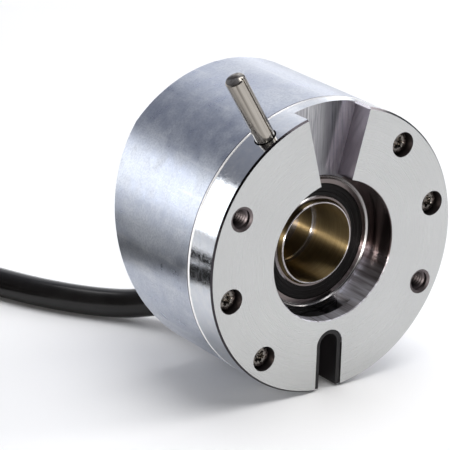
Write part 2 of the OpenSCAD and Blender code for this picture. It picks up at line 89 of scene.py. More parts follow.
BODY_R = high_mm("housing").x
FLANGE_T = high_mm("flange").y
FLOOR_Z = low_mm("housing").z
HOUSING_Y = low_mm("housing").y
BORE_R = mount("shaft_bore")["dims"]["r_mm"]
RECESS_R = 14.3
NOTCH_SLOPE = 0.35            # half the notch's width for each millimetre above the shaft axis
HOLE_CIRCLE_R = mount("flange_threads")["dims"]["pcd_mm"] / 2
SCREW_CLOCKS = [math.radians(c) for c in (40, 77.5, 220, 257.5)]
TAP_CLOCKS = [math.radians(c) for c in (116, 296)]
TAP_R = mount("flange_threads")["dims"]["hole_r_mm"]
THREAD_R = 2.0
THREAD_START = 0.275          # depth below the face at which the drawn thread begins
PIN_R = mount("torque_pin")["dims"]["r_mm"]
PIN_AXIS = Vector(mount("torque_pin")["axis"])
PIN_SPOT_M = Vector(mount("torque_pin")["pos_m"])
RACE_CIRCLE_R, RACE_Y, RACE_R = 10.75, 8.8, 1.24
CABLE_D = 6.0
LAY_Z = FLOOR_Z + CABLE_D / 2


# ---------------------------------------------------------------- camera and stage

CAMERA_AZIMUTH, CAMERA_ELEVATION, CAMERA_ROLL = -36.2403, 20.5960, 1.8064
CAMERA_DISTANCE = 515.42
CAMERA_OFFSET = (20.9895, -5.1030)
LENS, SENSOR = 213.77, 36
CLIP_NEAR_M, CLIP_FAR_M = 0.01, 20

# Name, direction, distance in metres, width and height in metres, power in watts and colour.
SOFTBOXES = (
    ("top_box", (0.12, -0.06, 1.0), 0.95, (1.0, 0.8), 9.0, (1.0, 1.0, 1.0)),
    ("key_box", (0.85, -0.25, 0.50), 0.90, (0.32, 0.32), 2.6, (1.0, 0.98, 0.95)),
    ("bore_box", (-0.60, -0.80, 0.03), 0.90, (0.06, 0.04), 5.8, (1.0, 0.97, 0.92)),
)
LIT_POINT_M = Vector((0, 0.018, 0))

# Direction, angles from it where the light is still full and where it ends, level and colour.
# The first is the wide glow at the back right, the others are soft lights within the room.
SKY_PATCHES = (
    ((0.60, 0.70, 0.20), 0, 105, 0.34, (0.88, 0.93, 1.10)),
    ((-0.616, 0.755, 0.224), 12.5, 15.5, 2.3, (0.98, 0.99, 1.0)),
    ((0.25, 0.755, 0.60), 4, 14, 0.50, (0.97, 0.98, 1.0)),
    ((0.55, 0.755, 0.30), 10, 26, 0.60, (1.0, 0.99, 0.97)),
    ((0.66, 0.755, -0.02), 8, 20, 0.80, (1.0, 1.0, 0.99)),
)
SKY_DIM = (0.07, 0.07, 0.075)
FLOOR_HALF_M, FLOOR_GAP_M = 3.0, 0.00002


def make_camera():
    """Long lens half a metre away, to the left of the shaft axis and above it."""
    azimuth, elevation, roll = (math.radians(a) for a in
                                (CAMERA_AZIMUTH, CAMERA_ELEVATION, CAMERA_ROLL))
    back = Vector((math.sin(azimuth) * math.cos(elevation),
                   -math.cos(azimuth) * math.cos(elevation), math.sin(elevation)))
    right = Vector((0, 0, 1)).cross(back).normalized()
    up = back.cross(right)
    tilted_right = math.cos(roll) * right + math.sin(roll) * up
    tilted_up = math.cos(roll) * up - math.sin(roll) * right
    across, upward = CAMERA_OFFSET
    place = CAMERA_DISTANCE * back - across * tilted_right - upward * tilted_up
    data = bpy.data.cameras.new("camera")
    data.lens = LENS
    data.sensor_width = SENSOR
    data.clip_start, data.clip_end = CLIP_NEAR_M, CLIP_FAR_M
    camera = bpy.data.objects.new("camera", data)
    axes = Matrix((tilted_right, tilted_up, back)).transposed()
    camera.matrix_world = Matrix.Translation(place * MM) @ axes.to_4x4()
    bpy.context.scene.collection.objects.link(camera)
    bpy.context.scene.camera = camera


def softbox(name, direction, distance, size, power, colour):
    """Rectangular area light that faces the encoder."""
    data = bpy.data.lights.new(name, "AREA")
    data.shape = "RECTANGLE"
    data.size, data.size_y = size
    data.energy = power
    data.color = colour
    light = bpy.data.objects.new(name, data)
    towards = Vector(direction).normalized()
    light.location = towards * distance + LIT_POINT_M
    light.rotation_mode = "QUATERNION"
    light.rotation_quaternion = towards.to_track_quat("Z", "Y")
    bpy.context.scene.collection.objects.link(light)


def make_lights():
    for settings in SOFTBOXES:
        softbox(*settings)


def bright_patch(tree, direction, inner, outer, level, colour):
    """Round soft light in the world: full inside the inner angle, nothing past the outer."""
    coordinates = node(tree, "TexCoord")
    aim = tuple(Vector(direction).normalized())
    along = node(tree, "VectorMath", {0: coordinates.outputs["Generated"], 1: aim},
                 operation="DOT_PRODUCT").outputs["Value"]
    edges = {"Value": along, "From Min": math.cos(math.radians(outer)),
             "From Max": math.cos(math.radians(inner))}
    share = node(tree, "MapRange", edges, interpolation_type="SMOOTHSTEP").outputs[0]
    lit = tuple(level * channel for channel in colour)
    return node(tree, "VectorMath", {0: share, 1: lit}, operation="MULTIPLY").outputs[0]


def make_world():
    """Dim room, dark behind the camera, with the soft lights of SKY_PATCHES."""
    world = bpy.data.worlds.new("studio")
    world.use_nodes = True
    tree = world.node_tree
    tree.nodes.clear()
    sky = bright_patch(tree, *SKY_PATCHES[0])
    for patch in SKY_PATCHES[1:]:
        sky = node(tree, "VectorMath", {0: sky, 1: bright_patch(tree, *patch)}).outputs[0]
    sky = node(tree, "VectorMath", {0: sky, 1: SKY_DIM}).outputs[0]
    background = node(tree, "Background", {"Color": sky})
    out = tree.nodes.new("ShaderNodeOutputWorld")
    tree.links.new(background.outputs[0], out.inputs[0])
    bpy.context.scene.world = world
    bpy.context.scene.view_settings.view_transform = "Standard"


def make_floor():
    half, z = FLOOR_HALF_M, cad_low.z - FLOOR_GAP_M
    mesh = bpy.data.meshes.new("floor")
    corners = [(-half, -half, z), (half, -half, z), (half, half, z), (-half, half, z)]
    mesh.from_pydata(corners, [], [(0, 1, 2, 3)])
    floor = bpy.data.objects.new("floor", mesh)
    new_material("floor_white", (0.93, 0.93, 0.935), 0, 0.55)
    mesh.materials.append(materials["floor_white"])
    bpy.context.scene.collection.objects.link(floor)


# ---------------------------------------------------------------- node helpers

def new_material(name, colour, metallic, roughness, **sockets):
    """New Principled material in the list, with plain values where no node is linked later.

    Further sockets are set by name, with _ for a space.
    """
    material = bpy.data.materials.new(name)
    material.use_nodes = True
    tree = material.node_tree
    shader = next(n for n in tree.nodes if n.type == "BSDF_PRINCIPLED")
    shader.inputs["Base Color"].default_value = (*colour, 1)
    shader.inputs["Metallic"].default_value = metallic
    shader.inputs["Roughness"].default_value = roughness
    for key, value in sockets.items():
        shader.inputs[key.replace("_", " ")].default_value = value
    materials[name] = material
    return tree, shader


def node(tree, kind, inputs=None, **settings):
    """New node of a kind, with attributes from settings and inputs by name or number."""
    made = tree.nodes.new("ShaderNode" + kind)
    for key, value in settings.items():
        setattr(made, key, value)
    for key, value in (inputs or {}).items():
        if isinstance(value, bpy.types.NodeSocket):
            tree.links.new(value, made.inputs[key])
        else:
            made.inputs[key].default_value = value
    return made


def object_space(tree, scale=(1, 1, 1)):
    """Position in the piece's own space, stretched by scale."""
    coordinates = node(tree, "TexCoord")
    return node(tree, "Mapping", {0: coordinates.outputs["Object"], "Scale": scale}).outputs[0]


def object_place(tree):
    """The X, Y and Z sockets of the position in the piece's own space."""
    coordinates = node(tree, "TexCoord")
    return node(tree, "SeparateXYZ", {0: coordinates.outputs["Object"]}).outputs


def axis_distance(tree, place):
    flat = node(tree, "CombineXYZ", {"X": place["X"], "Z": place["Z"]})
    return node(tree, "VectorMath", {0: flat.outputs[0]}, operation="LENGTH").outputs["Value"]


def facing_back(tree):
    """1 on surfaces that face along +Y, -1 on those that face -Y."""
    normal = node(tree, "NewGeometry").outputs["Normal"]
    return node(tree, "SeparateXYZ", {0: normal}).outputs["Y"]


def turned_space(tree, scale_r, scale_y):
    """(radius, y) about the shaft axis: constant along every turned groove."""
    place = object_place(tree)
    radius = product(tree, axis_distance(tree, place), scale_r)
    along = product(tree, place["Y"], scale_y)
    return node(tree, "CombineXYZ", {"X": radius, "Y": along}).outputs[0]


def noise(tree, space, scale, detail=4.0, rough=0.5):
    return node(tree, "TexNoise", {"Vector": space, "Scale": scale, "Detail": detail,
                                   "Roughness": rough}).outputs[0]


def spread(tree, value, low, high, from_low=0.3, from_high=0.7):
    """Maps a value between two limits to the range low..high."""
    return node(tree, "MapRange", {"Value": value, "From Min": from_low, "From Max": from_high,
                                   "To Min": low, "To Max": high}).outputs[0]


def blend(tree, factor, first, second):
    """Mix of two colours, each a socket or an rgb tuple."""
    made = node(tree, "Mix", {"Factor": factor}, data_type="RGBA")
    for key, value in (("A", first), ("B", second)):
        socket = next(s for s in made.inputs if s.name == key and s.type == "RGBA")
        if isinstance(value, bpy.types.NodeSocket):
            tree.links.new(value, socket)
        else:
            socket.default_value = (*value, 1)
    return next(s for s in made.outputs if s.type == "RGBA")


def two_tone(tree, value, first, second, *limits):
    """Colour that goes from the first to the second as a noise value rises between its limits."""
    return blend(tree, spread(tree, value, 0, 1, *limits), first, second)


def choose(tree, mask, outside, inside):
    """One number outside a mask and another inside; each may be a socket."""
    return node(tree, "MapRange", {"Value": mask, "To Min": outside, "To Max": inside}).outputs[0]


def calculate(tree, operation, *values, **settings):
    """Math node on values that are sockets or numbers."""
    return node(tree, "Math", dict(enumerate(values)), operation=operation, **settings).outputs[0]


def total(tree, first, second):
    return calculate(tree, "ADD", first, second)


def product(tree, first, second):
    return calculate(tree, "MULTIPLY", first, second)


def above(tree, value, limit):
    """1 where a value is above a limit, else 0."""
    return calculate(tree, "GREATER_THAN", value, limit)


def below(tree, value, limit):
    """1 where a value is below a limit, else 0."""
    return calculate(tree, "LESS_THAN", value, limit)


def set_bump(tree, shader, height, strength, depth):
    bump = node(tree, "Bump", {"Height": height, "Strength": strength, "Distance": depth * MM})
    tree.links.new(bump.outputs[0], shader.inputs["Normal"])


def set_colour(tree, shader, colour):
    tree.links.new(colour, shader.inputs["Base Color"])


def set_roughness(tree, shader, value):
    tree.links.new(value, shader.inputs["Roughness"])


def turned_grain(tree, shader):
    """Highlights stretch across the grooves that a lathe leaves round the axis."""
    tangent = node(tree, "Tangent", direction_type="RADIAL", axis="Y")
    tree.links.new(tangent.outputs[0], shader.inputs["Tangent"])


# ---------------------------------------------------------------- materials

def flange_regions(tree):
    """Masks over the flange by name, and the depth below its face as a share."""
    # Limits on the normal's Y, which is -1 on the face.
    square, steep, bevel_from, bevel_to = -0.9, -0.75, -0.93, -0.3
    skin, notch_depth, notch_low, centre_r = 0.05, 4, 12, 20
    place = object_place(tree)
    radius = axis_distance(tree, place)
    facing = facing_back(tree)
    front = below(tree, facing, square)
    wall = above(tree, facing, steep)
    bevelled = product(tree, above(tree, facing, bevel_from), below(tree, facing, bevel_to))
    inside_rim = below(tree, radius, (BODY_R - 0.5) * MM)
    upper = above(tree, place["Z"], notch_low * MM)
    behind = above(tree, place["Y"], notch_depth * MM)
    face = product(tree, front, below(tree, place["Y"], skin * MM))
    notch = product(tree, product(tree, front, behind), upper)
    recess = product(tree, wall, below(tree, radius, (RECESS_R + 0.12) * MM))
    half_width = product(tree, place["Z"], NOTCH_SLOPE)
    past = calculate(tree, "SUBTRACT", calculate(tree, "ABSOLUTE", place["X"]), half_width)
    wedge = product(tree, below(tree, past, 0.0), upper)
    sides = calculate(tree, "SUBTRACT", product(tree, wall, inside_rim), recess)
    notch_sides = product(tree, sides, wedge)
    claimed = total(tree, total(tree, face, notch), total(tree, recess, notch_sides))
    other = calculate(tree, "SUBTRACT", inside_rim, claimed, use_clamp=True)
    central = product(tree, other, below(tree, radius, centre_r * MM))
    return {"face": face, "notch": notch, "notch_sides": notch_sides,
            # rim: the outer chamfer, which gets a painted dark reflection
            "rim": product(tree, above(tree, radius, (BODY_R - 0.4) * MM), bevelled),
            "recess": total(tree, recess, central),
            "holes": calculate(tree, "SUBTRACT", other, central),
            # outer: lighter towards the rim, painted light on the notch walls
            "outer": spread(tree, radius, 0, 1, 21 * MM, 28 * MM),
            # low: the recess's lower part, painted light there and painted shade above
            "low": spread(tree, place["Z"], 1, 0, -10 * MM, -3 * MM),
            # right: towards the notch's right wall, where its floor gets painted shade
            "right": spread(tree, place["X"], 0, 1, -3.5 * MM, 1.5 * MM),
            # depth: darker below the face, painted shade in the notch walls and holes
            "depth": spread(tree, place["Y"], 0, 1, 0, 4.6 * MM)}


def turned_aluminium():
    """Flange: mirror-like turned side, satin face, notch milled along its length; painted shade in
    the notch, holes, rim and recess, painted light low in the recess.
    """
    tree, shader = new_material("turned_aluminium", (0.70, 0.72, 0.745), 1, 0.16)
    grooves = noise(tree, turned_space(tree, 1, 1), 9000, 3)
    clouds = noise(tree, object_space(tree), 60, 3)
    stains = noise(tree, object_space(tree), 520, 5, 0.6)
    specks = noise(tree, object_space(tree), 1500, 6, 0.7)
    milled = noise(tree, object_space(tree, (1, 1, 0.04)), 2600, 5, 0.7)
    bands = noise(tree, object_space(tree, (1, 1, 0.05)), 700, 3, 0.5)
    region = flange_regions(tree)

    side_tone = two_tone(tree, stains, (0.72, 0.73, 0.745), (0.62, 0.65, 0.70))
    face_tone = two_tone(tree, clouds, (0.515, 0.52, 0.515), (0.55, 0.555, 0.55))
    brushed = two_tone(tree, milled, (0.24, 0.24, 0.255), (0.63, 0.63, 0.64), 0.38, 0.62)
    brushed = blend(tree, spread(tree, bands, 0, 0.6, 0.4, 0.6), brushed, (0.38, 0.37, 0.40))
    # Painted shade: the notch floor darkens towards its right wall.
    shade = product(tree, region["right"], spread(tree, milled, 0.60, 0.97, 0.35, 0.6))
    brushed = blend(tree, shade, brushed, (0.075, 0.072, 0.085))
    # Painted shade on the notch's side walls: dark, lighter towards the rim, darker with depth.
    painted_wall_shade = blend(tree, region["outer"], (0.085, 0.078, 0.088), (0.185, 0.18, 0.20))
    painted_wall_shade = blend(tree, region["depth"], painted_wall_shade, (0.040, 0.035, 0.042))
    # Painted shade in the holes: darker the deeper below the face.
    painted_hole_shade = blend(tree, region["depth"], (0.14, 0.12, 0.123), (0.012, 0.010, 0.010))
    # Painted shade and painted light in the recess: a dark copy above, a lit copy below.
    recess_painted_shade = two_tone(tree, stains, (0.06, 0.045, 0.045), (0.10, 0.08, 0.078))
    axial = noise(tree, object_space(tree, (1, 0.06, 1)), 800, 3, 0.6)
    recess_lit = two_tone(tree, axial, (0.22, 0.205, 0.22), (0.60, 0.60, 0.66), 0.38, 0.62)
    recess_tone = blend(tree, region["low"], recess_painted_shade, recess_lit)
    tone = blend(tree, region["face"], side_tone, face_tone)
    tone = blend(tree, region["notch"], tone, brushed)
    tone = blend(tree, region["notch_sides"], tone, painted_wall_shade)
    tone = blend(tree, region["holes"], tone, painted_hole_shade)
    # Painted dark reflection: the outer chamfer is coloured nearly black all round.
    tone = blend(tree, region["rim"], tone, (0.05, 0.045, 0.05))
    set_colour(tree, shader, blend(tree, region["recess"], tone, recess_tone))

    rough = spread(tree, specks, 0.09, 0.23, 0.40, 0.65)
    rough = choose(tree, region["face"], rough, spread(tree, grooves, 0.23, 0.31))
    rough = choose(tree, region["notch"], rough, spread(tree, milled, 0.30, 0.42))
    rough = choose(tree, region["holes"], rough, 0.42)
    rough = choose(tree, region["recess"], rough, choose(tree, region["low"], 0.2, 0.6))
    set_roughness(tree, shader, rough)
    height = choose(tree, region["face"], spread(tree, stains, 0, 1.0),
                    spread(tree, grooves, 0, 0.04))
    height = choose(tree, region["notch"], height, spread(tree, milled, 0, 1.6))
    set_bump(tree, shader, height, 0.5, 0.02)


def housing_aluminium():
    """Housing: raw metal with clouds, fine grain, faint turning lines, a painted highlight along
    the front edge and a thin dark line behind it.
    """
    highlight_width, line_half = 0.52, 0.13
    tree, shader = new_material("housing_aluminium", (0.52, 0.54, 0.57), 1, 0.3)
    space = object_space(tree)
    clouds = noise(tree, space, 75, 5, 0.6)
    mottle = noise(tree, space, 300, 4, 0.6)
    grain = noise(tree, space, 2600, 3, 0.6)
    lines = noise(tree, turned_space(tree, 0, 1), 1400, 5, 0.6)
    scuff_space = node(tree, "Mapping", {0: space, "Rotation": (0.6, 0.35, 0.2),
                                         "Scale": (1, 0.07, 1)}).outputs[0]
    scuffs = noise(tree, scuff_space, 620, 4, 0.6)
    tone = two_tone(tree, clouds, (0.48, 0.515, 0.60), (0.57, 0.60, 0.655), 0.38, 0.62)
    tone = blend(tree, spread(tree, mottle, 0, 0.45, 0.45, 0.65), tone, (0.68, 0.705, 0.745))
    tone = blend(tree, spread(tree, mottle, 0.30, 0, 0.34, 0.48), tone, (0.40, 0.435, 0.52))
    tone = blend(tree, spread(tree, grain, 0, 0.55, 0.42, 0.62), tone, (0.38, 0.41, 0.48))
    tone = blend(tree, spread(tree, scuffs, 0, 0.30, 0.56, 0.68), tone, (0.76, 0.77, 0.79))
    tone = blend(tree, spread(tree, lines, 0, 0.14, 0.5, 0.7), tone, (0.38, 0.41, 0.47))
    along = object_place(tree)["Y"]
    edge_end = (HOUSING_Y + highlight_width) * MM
    edge = below(tree, along, edge_end)
    line = calculate(tree, "COMPARE", along, edge_end + line_half * MM, line_half * MM)
    # Painted highlight: a pale, almost non-metallic band along the front edge.
    tone = blend(tree, edge, tone, (0.74, 0.74, 0.755))
    set_colour(tree, shader, blend(tree, line, tone, (0.16, 0.16, 0.19)))
    rough = total(tree, spread(tree, clouds, 0.29, 0.35), spread(tree, mottle, -0.05, 0.05))
    set_roughness(tree, shader, rough)
    tree.links.new(choose(tree, edge, 1.0, 0.2), shader.inputs["Metallic"])
    fine = total(tree, product(tree, grain, 0.45), product(tree, lines, 0.15))
    set_bump(tree, shader, total(tree, product(tree, mottle, 0.15), fine), 0.4, 0.04)


def inner_aluminium():
    """Carrier and access plug: turned metal, painted darker than the flange as shade for the
    carrier deep in the recess.
    """
    tree, shader = new_material("inner_aluminium", (0.40, 0.39, 0.39), 1, 0.24,
                                Anisotropic=0.3, Anisotropic_Rotation=0.25)
    turned_grain(tree, shader)
    grooves = noise(tree, turned_space(tree, 1, 1), 5200, 3)
    # Darker than the flange: painted shade for the carrier inside the recess.
    tone = two_tone(tree, grooves, (0.33, 0.32, 0.32), (0.47, 0.46, 0.46))
    set_colour(tree, shader, tone)
    set_roughness(tree, shader, spread(tree, grooves, 0.18, 0.30))
    set_bump(tree, shader, grooves, 0.2, 0.03)


def pin_steel():
    """Torque pin: drawn steel with a warm tint and strong streaks along its length, partly drawing
    marks and partly painted reflection.
    """
    tree, shader = new_material("pin_steel", (0.52, 0.49, 0.44), 1, 0.17)
    tilt = Vector((0, 0, 1)).rotation_difference(PIN_AXIS).inverted().to_euler()
    turned = node(tree, "Mapping", {0: node(tree, "TexCoord").outputs["Object"], "Rotation": tilt})
    along = node(tree, "Mapping", {0: turned.outputs[0], "Scale": (1, 1, 0.02)}).outputs[0]
    streaks_and_reflections = noise(tree, along, 620, 2, 0.5)
    lines = noise(tree, along, 4200, 3, 0.6)
    # Streaks along the pin: drawing marks, and dark and light bands that are painted reflection.
    tone = two_tone(tree, streaks_and_reflections, (0.09, 0.075, 0.062), (0.45, 0.42, 0.375), 0.40, 0.60)
    tone = blend(tree, spread(tree, lines, 0, 0.35), tone, (0.19, 0.17, 0.15))
    set_colour(tree, shader, tone)
    set_roughness(tree, shader, spread(tree, lines, 0.12, 0.22))
    set_bump(tree, shader, lines, 0.15, 0.02)


def shaft_steel():
    """Hollow shaft: bored steel with a straw tint, darkened as painted shade inside the bore, and
    its grooves round the bore; grey ends.
    """
    tree, shader = new_material("shaft_steel", (0.30, 0.23, 0.12), 1, 0.5,
                                Anisotropic=1.0, Anisotropic_Rotation=0.25)
    turned_grain(tree, shader)
    grooves = noise(tree, turned_space(tree, 0.2, 1), 3600, 4, 0.6)
    clouds = noise(tree, object_space(tree), 240, 3)
    # Straw tint kept very dark: the steel's colour plus painted shade inside the bore.
    tone = two_tone(tree, grooves, (0.155, 0.110, 0.050), (0.235, 0.178, 0.092))
    tone = blend(tree, spread(tree, clouds, 0, 0.5), tone, (0.12, 0.085, 0.038))
    flat = above(tree, calculate(tree, "ABSOLUTE", facing_back(tree)), 0.6)
    set_colour(tree, shader, blend(tree, flat, tone, (0.50, 0.47, 0.47)))
    set_roughness(tree, shader, choose(tree, flat, spread(tree, grooves, 0.38, 0.47), 0.25))
    set_bump(tree, shader, grooves, 0.25, 0.04)


def bearing_steel():
    """Bearing rings: ground steel with painted shade on their flat faces, so the edges read
    bright.
    """
    tree, shader = new_material("bearing_steel", (0.60, 0.575, 0.56), 1, 0.18)
    grooves = noise(tree, turned_space(tree, 1, 1), 7000, 3)
    tone = two_tone(tree, grooves, (0.50, 0.475, 0.46), (0.66, 0.64, 0.63))
    # Painted shade: the flat faces across the axis get a dark colour.
    flat = above(tree, calculate(tree, "ABSOLUTE", facing_back(tree)), 0.97)
    set_colour(tree, shader, blend(tree, flat, tone, (0.17, 0.145, 0.14)))
    set_roughness(tree, shader, spread(tree, grooves, 0.14, 0.26))
    set_bump(tree, shader, grooves, 0.12, 0.02)


def spring_steel():
    """Spring and circlip: dull grey, with faint stains."""
    tree, shader = new_material("spring_steel", (0.36, 0.36, 0.37), 1, 0.35)
    stains = noise(tree, object_space(tree), 900, 4)
    tone = two_tone(tree, stains, (0.26, 0.26, 0.27), (0.44, 0.44, 0.45))
    set_colour(tree, shader, tone)
    set_bump(tree, shader, stains, 0.15, 0.03)


def plain_plastic(name, dark, light, roughness, scale=1800, bump=0.15, **sockets):
    """Moulded plastic or rubber: two close tones, fine grain, uneven gloss."""
    tree, shader = new_material(name, light, 0, roughness, **sockets)
    grain = noise(tree, object_space(tree), scale, 5, 0.6)
    clouds = noise(tree, object_space(tree), scale / 12, 3)
    set_colour(tree, shader, two_tone(tree, clouds, dark, light))
    rough = total(tree, spread(tree, clouds, -0.05, 0.05), spread(tree, grain, -0.04, 0.04))
    set_roughness(tree, shader, total(tree, rough, roughness))
    set_bump(tree, shader, grain, bump, 0.03)


def cable_jacket():
    """Cable jacket: black, semi-gloss, with faint drawing lines and dull patches."""
    tree, shader = new_material("cable_jacket", (0.006, 0.006, 0.006), 0, 0.22,
                                Specular_IOR_Level=0.4)
    grain = noise(tree, object_space(tree), 3000, 4, 0.6)
    patches = noise(tree, object_space(tree), 180, 4)
    tone = two_tone(tree, patches, (0.004, 0.0035, 0.0035), (0.008, 0.0075, 0.0075))
    set_colour(tree, shader, tone)
    set_roughness(tree, shader, spread(tree, patches, 0.18, 0.28))
    set_bump(tree, shader, grain, 0.08, 0.03)


def disc_glass():
    """Code disc: glass with a ring of fine dark lines near the rim."""
    clear, dark = (0.80, 0.88, 0.90), (0.03, 0.03, 0.03)
    line_count, track_r, track_half = 250, 18, 1
    tree, shader = new_material("disc_glass", clear, 0, 0.05, Transmission_Weight=0.85, IOR=1.5)
    place = object_place(tree)
    angle = calculate(tree, "ARCTAN2", place["X"], place["Z"])
    wave = calculate(tree, "SINE", product(tree, angle, line_count))
    track = calculate(tree, "COMPARE", axis_distance(tree, place), track_r * MM, track_half * MM)
    lines = product(tree, above(tree, wave, 0.0), track)
    set_colour(tree, shader, blend(tree, lines, clear, dark))


def circuit_board():
    """Boards: green lacquer over fine copper tracks."""
    tree, shader = new_material("circuit_board", (0.03, 0.16, 0.08), 0, 0.3,
                                Coat_Weight=0.4, Coat_Roughness=0.15)
    tracks = node(tree, "TexBrick", {"Vector": object_space(tree), "Scale": 260.0,
                                     "Mortar Size": 0.03, "Color1": (0.02, 0.15, 0.07, 1),
                                     "Color2": (0.03, 0.19, 0.09, 1),
                                     "Mortar": (0.10, 0.30, 0.16, 1)})
    set_colour(tree, shader, tracks.outputs[0])
    set_bump(tree, shader, tracks.outputs[1], 0.2, 0.03)


def stained_metal(name, dark, light, gloss, scale=1200, rough=0.5, bump=0.12, depth=0.02):
    """Small metal parts: two close tones, and gloss that varies between two roughnesses."""
    tree, shader = new_material(name, light, 1, gloss[0])
    stains = noise(tree, object_space(tree), scale, 4, rough)
    set_colour(tree, shader, two_tone(tree, stains, dark, light))
    set_roughness(tree, shader, spread(tree, stains, *gloss))
    set_bump(tree, shader, stains, bump, depth)


def make_materials():
    """Fills the list with one material for each slot in the record."""
    for make in (turned_aluminium, housing_aluminium, inner_aluminium, pin_steel, shaft_steel,
                 bearing_steel, spring_steel, disc_glass, circuit_board, cable_jacket):
        make()
    plain_plastic("cage_plastic", (0.42, 0.34, 0.19), (0.55, 0.46, 0.28), 0.45)
    plain_plastic("black_rubber", (0.003, 0.0025, 0.0025), (0.006, 0.005, 0.005), 0.45, 2400, 0.2,
                  Specular_IOR_Level=0.12)
    plain_plastic("black_plastic", (0.005, 0.0045, 0.005), (0.011, 0.010, 0.011), 0.36, 2200, 0.2,
                  Specular_IOR_Level=0.3)
    plain_plastic("cream_plastic", (0.70, 0.66, 0.58), (0.78, 0.75, 0.67), 0.4)
    plain_plastic("lead_plastic", (0.42, 0.04, 0.03), (0.50, 0.06, 0.04), 0.35)
    plain_plastic("tie_nylon", (0.70, 0.70, 0.66), (0.80, 0.80, 0.76), 0.38, 1500, 0.12,
                  Subsurface_Weight=0.1)
    stained_metal("spacer_brass", (0.60, 0.46, 0.20), (0.76, 0.61, 0.30), (0.20, 0.32))
    stained_metal("nickel", (0.56, 0.545, 0.52), (0.70, 0.685, 0.66), (0.17, 0.29))
    stained_metal("contact_gold", (0.80, 0.58, 0.20), (0.95, 0.72, 0.30), (0.13, 0.25))
    stained_metal("screw_steel", (0.09, 0.08, 0.072), (0.26, 0.24, 0.22), (0.18, 0.36), scale=1500,
                  rough=0.6, bump=0.25, depth=0.03)


# ---------------------------------------------------------------- mesh helpers

def adopt(piece, slot, body, *nodes):
    """Gives a finished piece its material, body and the CAD nodes that it stands for."""
    piece.data.materials.append(materials[slot])
    if nodes:
        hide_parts(*nodes)
    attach(piece, body)
    return piece


def object_from(name, work, smooth_angle=35):
    """Object from a bmesh: welded, normals outward, smooth with sharp edges by angle."""
    bmesh.ops.recalc_face_normals(work, faces=work.faces)
    limit = math.radians(smooth_angle)
    for face in work.faces:
        face.smooth = True
    for edge in work.edges:
        edge.smooth = len(edge.link_faces) == 2 and edge.calc_face_angle() < limit
    mesh = bpy.data.meshes.new(name)
    work.to_mesh(mesh)
    work.free()
    made = bpy.data.objects.new(name, mesh)
    bpy.context.scene.collection.objects.link(made)
    return made


def softened(name, node_name, slot, width, segments=2, change=None):
    """Stator piece with a CAD node's own shape, its edges broken by a small bevel."""
    weld_distance, straight_angle, bevel_angle, face_weight = 0.002, 0.2, 28, 80
    work = bmesh.new()
    work.from_mesh(frame["nodes"][node_name].data)
    bmesh.ops.remove_doubles(work, verts=work.verts, dist=weld_distance * MM)
    bmesh.ops.dissolve_limit(work, angle_limit=math.radians(straight_angle), verts=work.verts,
                             edges=work.edges)
    if change:
        change(work)
    piece = object_from(name, work, 25)
    bevel = piece.modifiers.new("edge_break", "BEVEL")
    bevel.width = width * MM
    bevel.segments = segments
    bevel.limit_method = "ANGLE"
    bevel.angle_limit = math.radians(bevel_angle)
    bevel.miter_outer = "MITER_ARC"
    bevel.use_clamp_overlap = True
    normals = piece.modifiers.new("weighted_normals", "WEIGHTED_NORMAL")
    normals.keep_sharp = True
    normals.weight = face_weight
    return adopt(piece, slot, STATOR, node_name)


def filleted(points, radius, steps=4, keep=()):
    """Closed outline with its corners rounded, except those whose number is in keep."""
    side_share, tiny = 0.48, 1e-9
    out = []
    count = len(points)
    for i, corner in enumerate(points):
        corner = Vector(corner)
        before, after = Vector(points[i - 1]) - corner, Vector(points[(i + 1) % count]) - corner
        shorter = min(before.length, after.length)
        if i in keep or shorter < tiny:
            out.append(tuple(corner))
            continue
        cut = min(radius / max(math.tan(before.angle(after) / 2), 1e-6), shorter * side_share)
        start, end = corner + before.normalized() * cut, corner + after.normalized() * cut
        for k in range(steps + 1):
            t = k / steps
            out.append(tuple((1 - t) ** 2 * start + 2 * t * (1 - t) * corner + t * t * end))
    return out


def revolved(name, outline, segments, place=ALONG_SHAFT, shape=None):
    """Solid of revolution from a closed outline of (radius, height).

    place turns local (x, y, height) into the encoder's frame; shape(radius, height, angle) may
    change the radius on the way.
    """
    on_axis = 1e-6
    work = bmesh.new()
    rings = []
    for radius, height in outline:
        if radius < on_axis:
            rings.append([work.verts.new(place @ Vector((0, 0, height)) * MM)] * segments)
            continue
        ring = []
        for k in range(segments):
            angle = TURN * k / segments
            r = shape(radius, height, angle) if shape else radius
            point = Vector((r * math.cos(angle), r * math.sin(angle), height))
            ring.append(work.verts.new(place @ point * MM))
        rings.append(ring)
    for a, b in zip(rings, rings[1:] + rings[:1]):
        for k in range(segments):
            corners = [a[k], a[(k + 1) % segments], b[(k + 1) % segments], b[k]]
            unique = list(dict.fromkeys(corners))
            if len(unique) > 2:
                work.faces.new(unique)
    return object_from(name, work)


def at_clock(angle):
    """Frame for something round along Y, on the face's circle of holes at a clock angle."""
    spot = HOLE_CIRCLE_R * Vector((math.sin(angle), 0, math.cos(angle)))
    return Matrix.Translation(spot) @ ALONG_SHAFT


def joined(name, parts):
    """One object from several."""
    work = bmesh.new()
    for piece in parts:
        work.from_mesh(piece.data)
        bpy.data.objects.remove(piece)
    return object_from(name, work)


# ---------------------------------------------------------------- cable

